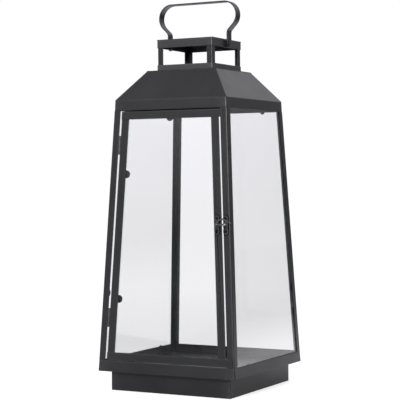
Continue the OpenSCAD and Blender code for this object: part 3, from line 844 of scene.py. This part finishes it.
# Turned fastenings: radius and height up the fastening's own line, in millimetres
fastenings = {
    "screw": [(0, -2.2), (0.8, -2.2), (1.1, -1.9), (1.1, 0), (1.9, 0), (1.9, 0.42), (1.78, 0.58), (1.3, 0.68),
              (0.7, 0.74), (0, 0.76)],
    "screwSlot": (0.7, 0.42),  # width and depth
    "rivet": [(0, 48.4), (2.6, 48.4), (2.9, 48.55), (3, 48.8), (3, 49.6), (2, 49.6), (2, 50.6), (3.7, 50.6),
              (3.9, 50.8), (3.9, 52.6), (3.7, 52.8), (2, 52.8), (2, 55.4), (3.75, 55.4), (3.9, 55.6), (3.72, 56.1),
              (3.2, 56.7), (2.4, 57.2), (1.3, 57.5), (0, 57.6)],
    "peg": [(0, -1.2), (1.0, -1.2), (1.2, -1.0), (1.2, 2.9), (1.84, 2.9), (1.9, 3.3), (1.83, 3.9), (1.56, 4.5),
            (1.1, 4.95), (0.55, 5.2), (0, 5.3)],
    "pivot": [(0, -0.9), (1.1, -0.9), (1.1, 2.9), (1.9, 2.9), (2, 3.0), (1.95, 3.25), (1.6, 3.45), (0.9, 3.58),
              (0, 3.6)],
    "pin": [(0, -15), (0.6, -15), (0.8, -14.8), (0.8, 14.8), (0.6, 15), (0, 15)],
    "sides": 28,
    "coreMm": 0.0001,  # radius of the circle that a section is swept round
    "mergeMm": 0.002,
    "barMm": 20.0,  # length of the bar that cuts a slot
    "worn": 0.35,
}

latchPlace = {  # on the front wall: counted in from its right edge, and up its slope
    "plateIn": 22.8,
    "keeperIn": 8.0,
    "up": 217.0,
    "screwPitch": 20.2,
    "doorFace": 0.3,
    "plateRadius": 4.4,  # of the painted shade's edge beside the plates
    "paintedShadeSpread": 2.4,
    "paintedShadeDepth": 0.85,
}


def buildTurnedParts(look):
    tree, start = newRecipe("turnedParts", {
        "Sides": 28, "Slot Width": 0.0, "Slot Depth": 0.0, "Top": 0.001, "Slotted": False})
    spots, section = splitSeed(tree, start["Seed"])
    circle = step(tree, "CurvePrimitiveCircle", {
        "Resolution": start["Sides"], "Radius": look["coreMm"] * mm})
    turned = step(tree, "MergeByDistance", {
        "Geometry": sweep(tree, circle, section), "Distance": look["mergeMm"] * mm})
    deep = times(tree, start["Slot Depth"], 2)
    bar = step(tree, "MeshCube", {"Size": joinVector(tree, look["barMm"] * mm, start["Slot Width"], deep)})
    bar = step(tree, "Transform", {"Geometry": bar, "Translation": joinVector(tree, z=start["Top"])})
    slotted = step(tree, "MeshBoolean", {"Mesh 1": turned, "Mesh 2": bar},
                   operation="DIFFERENCE", solver="EXACT")
    part = step(tree, "Switch", {"Switch": start["Slotted"], "False": turned, "True": slotted},
                input_type="GEOMETRY")
    return endRecipe(tree, start, putOnSpots(tree, spots, part))


# Where flat work on a wall is laid out: x along the wall, y up its slope, z outwards
def wallPlace(side):
    foot = Matrix.Translation((0, -footHalf, lantern["footLevel"]))
    return Matrix.Rotation(radians(90 * side), 4, "Z") @ foot @ Matrix.Rotation(radians(90) - lean, 4, "X")


wallLength = (lantern["headLevel"] - lantern["footLevel"]) / cos(lean)
taperRate = (lantern["footWidth"] - lantern["headWidth"]) / 2 / wallLength
taper = atan(taperRate)


def wallEdge(up):
    return footHalf - up * taperRate


def latchSpot(inward, face):
    up = latchPlace["up"]
    return wallPlace(0) @ Matrix.Translation((wallEdge(up) - inward, up, face)) @ Matrix.Rotation(taper, 4, "Z")


def makeFastenings(name, kind, places, material, body, covers):
    settings = {"Sides": fastenings["sides"]}
    if kind + "Slot" in fastenings:
        width, depth = fastenings[kind + "Slot"]
        settings.update({
            "Slotted": True, "Slot Width": width * mm, "Slot Depth": depth * mm, "Top": fastenings[kind][-1][1] * mm})
    section = [(radius, -height, 0) for radius, height in fastenings[kind]]
    seed = spotSeed(name, section, places, edge=fastenings["worn"])
    dressPiece(runRecipe(name, turnedParts, seed, settings, material), material, body, covers)


# Paints shade into a coat round plates that lie along each place's y; black metal there also takes away its shine, so
# the painted shade stays dark
def shadeRims(material, places, look):
    tree = material.node_tree
    colour = tree.nodes["Principled BSDF"].inputs["Base Color"].links[0].from_socket
    spot = step(tree, "TexCoord", give="Object")
    dull = 0.0
    for place in places:
        shade = useGroup(tree, rimShade, {
            "Vector": spot, "Middle": place.translation * mm, "Along": place.col[1].to_3d(),
            "Half Length": look["screwPitch"] / 2 * mm, "Radius": look["plateRadius"] * mm,
            "Spread": look["paintedShadeSpread"] * mm})["Shade"]
        deep = times(tree, shade, look["paintedShadeDepth"])
        colour = mixColour(tree, deep, colour, (0, 0, 0, 1))
        dull = calc(tree, "MAXIMUM", deep, dull)
    feedSurface(tree, {"Base Color": colour, "Metallic": dull})


turnedParts = buildTurnedParts(fastenings)
pairUp = [Matrix.Translation((0, way * latchPlace["screwPitch"] / 2, 0)) for way in (-1, 1)]
keeper = latchSpot(latchPlace["keeperIn"], 0)
plate = latchSpot(latchPlace["plateIn"], latchPlace["doorFace"])
pivot = latchSpot(latchPlace["plateIn"], 0)
makeFastenings("keeperScrews", "screw", [keeper @ up for up in pairUp], darkScrew, "frame", ["keeper_screws"])
makeFastenings("latchScrews", "screw", [plate @ up for up in pairUp], darkScrew, "door", ["latch_screws"])
makeFastenings("keeperPeg", "peg", [keeper], wornPeg, "frame", ["latch_peg"])
makeFastenings("latchPivotRivet", "pivot", [pivot], darkHook, "door", ["latch_pivot"])
# Painted shade round the latch plate and keeper, in the black coat
shadeRims(blackCoat, [keeper, plate], latchPlace)
rivetLine = Matrix.Translation((0, 0, strapLook["pivotLevel"]))
rivetPair = [rivetLine @ Matrix.Rotation(radians(90 * way), 4, "Y") for way in (-1, 1)]
makeFastenings("strapRivets", "rivet", rivetPair, blackCoat, "frame", ["handle_rivets"])
print("fastenings turned")


# Round tabs bent over the backs of the panes
tabLook = {
    "thick": 0.8,
    "radius": 6.3,
    "smallRadius": 3.8,
    "foot": 2.0,
    "bend": 0.77,  # middle radius of the bend at the foot
    "bendSteps": 6,
    "sides": 28,
    "worn": 0.4,
    "doorBack": -3.4,  # middle of the tabs' sheet, behind the door's glass
    "paneBack": -3.8,  # and behind the fixed panes
}


def buildBentTabs(look):
    tree, start = newRecipe("bentTabs", {"Radius": 0.006, "Thickness": 0.0008, "Sides": 28})
    spots, line = splitSeed(tree, start["Seed"])
    path = roundBends(tree, line, look["bendSteps"], attribute(tree, "bend"))
    arm = sweep(tree, path, rectangle(tree, start["Radius"], start["Thickness"]), True)
    disc = step(tree, "MeshCylinder", {
        "Vertices": start["Sides"], "Radius": start["Radius"], "Depth": start["Thickness"]}, fill_type="NGON")
    tab = step(tree, "JoinGeometry", {0: arm})
    tree.links.new(disc, tab.node.inputs[0])
    return endRecipe(tree, start, putOnSpots(tree, spots, tab))


# Several grown meshes as one piece, for tabs of different sizes on one body
def joinMeshes(name, pieces):
    work = bmesh.new()
    for piece in pieces:
        work.from_mesh(piece.data)
    mesh = bpy.data.meshes.new(name)
    work.to_mesh(mesh)
    work.free()
    for piece in pieces:
        bpy.data.objects.remove(piece)
    return addObject(name, mesh)


# Arm of a tab seen from its side, from the disc's middle: along the glass, then up to a foot, or straight
def tabArm(run, rise, look):
    if rise == 0:
        return [(0, 0, 0), (-run, 0, 0)]
    edge = -run - look["thick"] / 2
    return [(0, 0, 0), (edge, 0, 0), (edge, 0, rise), (-run - look["foot"], 0, rise)]


# Spots beside a wall's slanting edge, at shares of its length: along it, up it and turned to it
def edgeSpots(way, inward, shares):
    return [(way * (wallEdge(share * wallLength) - inward), share * wallLength, way * taper) for share in shares]


headSpot = 0.32 * lantern["headWidth"]
floorSpot = 0.29 * lantern["footWidth"]

# Of each kind of tab: its radius, how far it reaches in, its arm's lap, its rise, its turn, its walls and its spots
doorTabs = {
    "leftTabs": ("radius", 6.5, 4.3, 2.1, 0, (0,), edgeSpots(-1, 28.8, (0.247, 0.745))),
    "rightTabs": ("smallRadius", 1.3, 4.3, 2.1, 180, (0,), edgeSpots(1, 27.6, (0.287, 0.753))),
    "headTab": ("radius", 4, 4.3, 3.3, -90, (0,), [(0, wallLength - 14.6, 0)]),
}
paneTabs = {
    "headTabs": ("smallRadius", 3.2, 6.3, 2.3, -90, (2, 3), [(-headSpot, wallLength, 0)]),
    "postTabs": ("radius", 4.5, 6.3, 2.1, 180, (1, 3), edgeSpots(1, 12.0, (0.171, 0.267))),
    "tallFloorTabs": ("radius", 2.5, 15.81, 0, 90, (1, 3), [(-floorSpot, 0, 0)]),
    "lowFloorTabs": ("radius", -1, 15.81, 0, 90, (2,), [(-floorSpot, 0, 0), (floorSpot, 0, 0)]),
}


def growTabs(name, look, back, size, reach, lap, rise, turnDegrees, walls, spots):
    inward = reach - look[size]
    turn = Matrix.Rotation(radians(turnDegrees), 4, "Z")
    places = [wallPlace(wall) @ Matrix.Translation((x, up, 0)) @ Matrix.Rotation(lay, 4, "Z") @ turn
              @ Matrix.Translation((inward, 0, back)) for wall in walls for x, up, lay in spots]
    seed = spotSeed(name, tabArm(inward + lap, rise, look), places, bend=look["bend"] * mm, edge=look["worn"])
    return runRecipe(name, bentTabs, seed, {
        "Radius": look[size] * mm, "Thickness": look["thick"] * mm, "Sides": look["sides"]}, blackCoat)


def makeTabs(name, body, node, rows, back):
    grown = [growTabs(kind, tabLook, back, *row) for kind, row in rows.items()]
    dressPiece(joinMeshes(name, grown), blackCoat, body, [node])


bentTabs = buildBentTabs(tabLook)
makeTabs("doorGlassTabs", "door", "door_tabs", doorTabs, tabLook["doorBack"])
makeTabs("paneTabs", "frame", "pane_tabs", paneTabs, tabLook["paneBack"])
print("tabs bent")


hingePlace = {"inward": 13.8, "depth": -0.6, "up": (68.0, wallLength - 55.0)}


def hingeSpot(up):
    beside = Matrix.Translation((-wallEdge(up) + hingePlace["inward"], up, hingePlace["depth"]))
    return wallPlace(0) @ beside @ Matrix.Rotation(-taper, 4, "Z") @ Matrix.Rotation(radians(-90), 4, "X")


makeFastenings("hingePins", "pin", [hingeSpot(up) for up in hingePlace["up"]], darkScrew, "frame", ["hinge_pins"])
print("hinge pins turned")


# Sheet metal: each solid's sheet with its arrises eased and its borders marked for wear and a painted rim highlight
sheetEdges = {
    "bevelMm": 0.3,
    "bevelSteps": 2,
    "mergeMm": 0.002,
    "flatDegrees": 0.4,
    "sharpDegrees": 30,
    "evenMm": 1.5,  # wider borders than this keep their width round corners
}
sheetSlots = {  # material, and how wide its border is in millimetres
    "coat": (blackCoat, 2.0),
    "fittings": (blackFitting, 0.9),
    "glass": (paneGlass, 7.0),
}


# Rounds the sharp edges, insets a border on each broad face, and writes 1 beside an edge, 0 away from it
def easedCopy(node, material, fringeMm, look):
    work = bmesh.new()
    work.from_mesh(frame["nodes"][node].data)
    bmesh.ops.remove_doubles(work, verts=work.verts, dist=look["mergeMm"] * mm)
    bmesh.ops.dissolve_limit(work, angle_limit=radians(look["flatDegrees"]), verts=work.verts, edges=work.edges)
    limit = radians(look["sharpDegrees"])
    sharp = [edge for edge in work.edges if len(edge.link_faces) == 2 and edge.calc_face_angle(0) > limit]
    if sharp:
        bmesh.ops.bevel(work, geom=sharp, offset=look["bevelMm"] * mm, offset_type="OFFSET",
                        segments=look["bevelSteps"], profile=0.5, affect="EDGES", clamp_overlap=True)
    fringe = fringeMm * mm
    broad = []
    for face in work.faces:
        around = sum([edge.calc_length() for edge in face.edges])
        if 2 * face.calc_area() / (around / 2 + 1e-9) > 3 * fringe:
            broad.append(face)
    layer = work.verts.layers.float.new("edge")
    for vertex in work.verts:
        vertex[layer] = 1.0
    if fringe > 0 and broad:
        before = set(work.verts)
        bmesh.ops.inset_individual(work, faces=broad, thickness=fringe, depth=0,
                                   use_even_offset=fringeMm > look["evenMm"])
        for vertex in work.verts:
            if vertex not in before:
                vertex[layer] = 0.0
    mesh = bpy.data.meshes.new(node + "Sheet")
    work.to_mesh(mesh)
    work.free()
    mesh.materials.append(material)
    return finishMesh(addObject(node + "Sheet", mesh))


bodies = frame["record"]["behaviour"]["bodies"]
bodyOf = {node: body for body, members in bodies.items() for node in members}
slotOf = {entry["node"]: entry["material_slot"] for entry in frame["record"]["subparts"]}

for node in sorted(set(frame["nodes"]) - replaced):
    material, fringeMm = sheetSlots[slotOf[node]]
    if node == "latch_hook":
        material, fringeMm = darkHook, 0
    piece = easedCopy(node, material, fringeMm, sheetEdges)
    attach(piece, bodyOf[node])
    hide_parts(node)
print("sheet metal eased")


# Stage: pale floor, white surroundings and soft light
stageLook = {
    "floorHalf": 30,
    "floorLevel": -0.0004,
    "floorColour": (0.80, 0.80, 0.80, 1),
    "floorGlow": 0.62,  # lifts the lit floor to white where it is looked at
    "floorTint": (0.985, 0.975, 1, 1),
    "floorThrough": (0.2, 2, 0.915, 1.03),  # its brightness through glass: two distances, and that at each
    "poolNear": (0.15, 0.5, 0.55, 0.95),  # and as polished faces mirror it, beside the lantern: painted light, dimmer there as a painted shadow
    "poolFar": (0.9, 2.4, 0.95, 0.35),  # and far away
    "poolInside": 0.75,  # share of that where a pane is passed on the way
    # a direction, two places along it and the share at each
    "poolFront": ((0, -1, 0), -0.3, 0.2, 1, 0.70),
    "poolRight": ((0.985, -0.17, 0), 0.35, 0.8, 1, 0.24),
    "poolBack": ((0.47, 0.88, 0), 0.15, 0.4, 1, 1.5),
}

# Soft room that lights and is mirrored in the lantern, in the same way
roomLook = {
    "tint": (0.965, 0.955, 1, 1),
    "sight": 1.055,  # its brightness where it is looked at
    "overhead": ((0, 0, 1), 0.1, 0.7, 0, 0.26),
    "backLeft": ((-0.6, 0.78, 0.13), 0.5, 0.95, 0, 0.40),
    "horizon": ((0, 0, 1), -0.03, 0.16, 0.20, 0.30),
    "ahead": ((-0.47, -0.88, 0), 0.6, 0.9, 0, 0.85),  # what the front mirrors,
    "behind": ((-0.47, -0.88, 0), -0.9, -0.6, 0.25, 0),  # what the right side does,
    "beltFoot": ((0, 0, 1), 0.05, 0.15, 0, 1),  # and the belt above the horizon that holds both
    "beltHead": ((0, 0, 1), 0.2, 0.4, 1, 0.2),
    "shadeRight": ((0.98, 0.18, 0), 0.6, 0.92, 1, 0.15),
}


def along(tree, arrow, row):
    return remap(tree, vectorCalc(tree, "DOT_PRODUCT", arrow, row[0], give=1), *row[1:])


# 1 where the eye looks straight at something, through glass or not, with nothing bounced on the way
def straightSight(tree):
    path = step(tree, "LightPath").node.outputs
    clear = calc(tree, "MAXIMUM", path["Is Camera Ray"], path["Is Transmission Ray"])
    bounced = calc(tree, "ADD", path["Diffuse Depth"], path["Glossy Depth"])
    return times(tree, clear, calc(tree, "LESS_THAN", bounced, 0.5)), path


def makeFloor(look):
    mesh = bpy.data.meshes.new("studioFloor")
    half, low = look["floorHalf"], look["floorLevel"]
    mesh.from_pydata([(x, y, low) for x, y in ((-half, -half), (half, -half), (half, half), (-half, half))],
                     [], [(0, 1, 2, 3)])
    material = bpy.data.materials.new("paleFloor")
    material.use_nodes = True
    tree = material.node_tree
    tree.nodes.clear()
    sight, path = straightSight(tree)
    place = step(tree, "NewGeometry", give="Position")
    away = vectorCalc(tree, "LENGTH", place, give=1)
    # Painted light: as polished faces mirror it the floor glows, dimmer beside the lantern as a painted shadow, dimmer
    # to the front and right and brighter behind
    pool = calc(tree, "MINIMUM", remap(tree, away, *look["poolNear"]), remap(tree, away, *look["poolFar"]))
    for name in ("poolFront", "poolRight"):
        pool = times(tree, pool, along(tree, place, look[name]))
    outside = calc(tree, "LESS_THAN", path["Transmission Depth"], 0.5)
    behind = remap(tree, outside, 0, 1, look["poolInside"], along(tree, place, look["poolBack"]))
    pool = times(tree, pool, behind)

    diffuse = step(tree, "BsdfDiffuse", {"Color": look["floorColour"]})
    glow = times(tree, path["Is Camera Ray"], look["floorGlow"])
    lit = step(tree, "AddShader", {0: diffuse, 1: step(tree, "Emission", {"Strength": glow})})
    through = times(tree, sight, path["Is Transmission Ray"])
    mirrored = times(tree, calc(tree, "GREATER_THAN", path["Glossy Depth"], 0.5),
                    calc(tree, "LESS_THAN", path["Diffuse Depth"], 0.5))
    seen = times(tree, through, remap(tree, away, *look["floorThrough"]))
    pale = calc(tree, "ADD", seen, times(tree, mirrored, pool))
    white = step(tree, "Emission", {"Color": look["floorTint"], "Strength": pale})
    picked = step(tree, "MixShader", {0: calc(tree, "ADD", through, mirrored, True), 1: lit, 2: white})
    step(tree, "OutputMaterial", {0: picked})
    mesh.materials.append(material)
    addObject("studioFloor", mesh)


# White where it is looked at; for light and reflections a soft room, brighter overhead and behind on the left
def makeWorld(look):
    world = bpy.data.worlds.new("studio")
    bpy.context.scene.world = world
    world.use_nodes = True
    tree = world.node_tree
    sight = straightSight(tree)[0]
    heading = step(tree, "TexCoord", give="Generated")
    part = {name: along(tree, heading, row) for name, row in look.items() if name not in ("tint", "sight")}
    room = calc(tree, "ADD", calc(tree, "ADD", part["overhead"], part["backLeft"]), part["horizon"])
    belt = times(tree, part["beltFoot"], part["beltHead"])
    gain = times(tree, calc(tree, "ADD", part["ahead"], part["behind"]), belt)
    room = times(tree, calc(tree, "ADD", room, gain), part["shadeRight"])
    shade = tree.nodes["Background"]
    feed(tree, shade, {"Color": look["tint"], "Strength": remap(tree, sight, 0, 1, room, look["sight"])})
    tree.nodes["World Output"].location = (shade.location.x + 200, shade.location.y)


softLights = {
    "backRightKey": {"place": (0.35, 2.0, 1.65), "aim": (0, 0, 0.4), "size": 0.8, "watts": 1.1},
    "frontKey": {"place": (0.25, -2.3, 1.1), "aim": (0, 0, 0.3), "size": 0.7, "watts": 20},
    "frontRightRim": {"place": (1.5, -2.2, 0.95), "aim": (0, 0, 0.3), "size": 0.40, "watts": 26},
    "frontLeftHigh": {"place": (-1.15, -2.1, 1.9), "aim": (0, 0, 0.3), "size": 0.45, "watts": 4},
}


def makeLight(name, light):
    data = bpy.data.lights.new(name, "AREA")
    data.shape = "SQUARE"
    data.size = light["size"]
    data.energy = light["watts"]
    lamp = addObject(name, data)
    lamp.location = light["place"]
    aim = Vector(light["aim"]) - Vector(light["place"])
    lamp.rotation_euler = aim.to_track_quat("-Z", "Y").to_euler()


makeFloor(stageLook)
makeWorld(roomLook)
for lightName, light in softLights.items():
    makeLight(lightName, light)
bpy.context.scene.view_settings.view_transform = "Standard"
print("stage lit")
